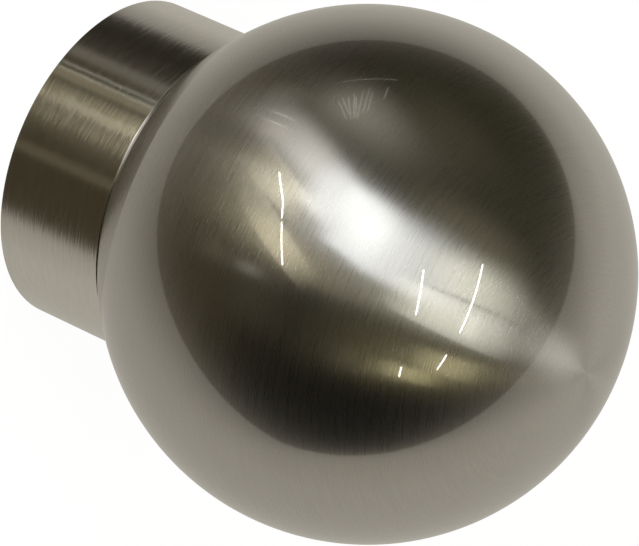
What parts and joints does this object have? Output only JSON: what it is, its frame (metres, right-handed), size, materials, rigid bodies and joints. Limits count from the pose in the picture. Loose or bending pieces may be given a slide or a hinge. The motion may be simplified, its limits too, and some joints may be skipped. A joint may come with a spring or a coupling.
{
  "type": "curtain pole finial",
  "caption": "Brushed nickel ball finial with a short socket collar that slips over the end of a curtain pole and is held by a set screw.",
  "frame": {"origin": "centre of the collar's open end, on the pole's axis", "axes": "+Z along the pole's axis, from the open socket towards the tip of the ball; +Y towards the set screw"},
  "size_m": [0.05, 0.05, 0.0561],
  "materials": {
    "ball_nickel": "brushed nickel plate, lacquered",
    "collar_nickel": "turned and brushed nickel plate",
    "fixing_steel": "bright zinc plate",
    "set_screw_steel": "nickel plated hardened steel"
  },
  "bodies": {
    "root": {"ball": "ball_nickel", "collar": "collar_nickel", "threaded_bush": "fixing_steel", "fixing_screw": "fixing_steel", "grub_screw": "set_screw_steel"}
  },
  "joints": []
}
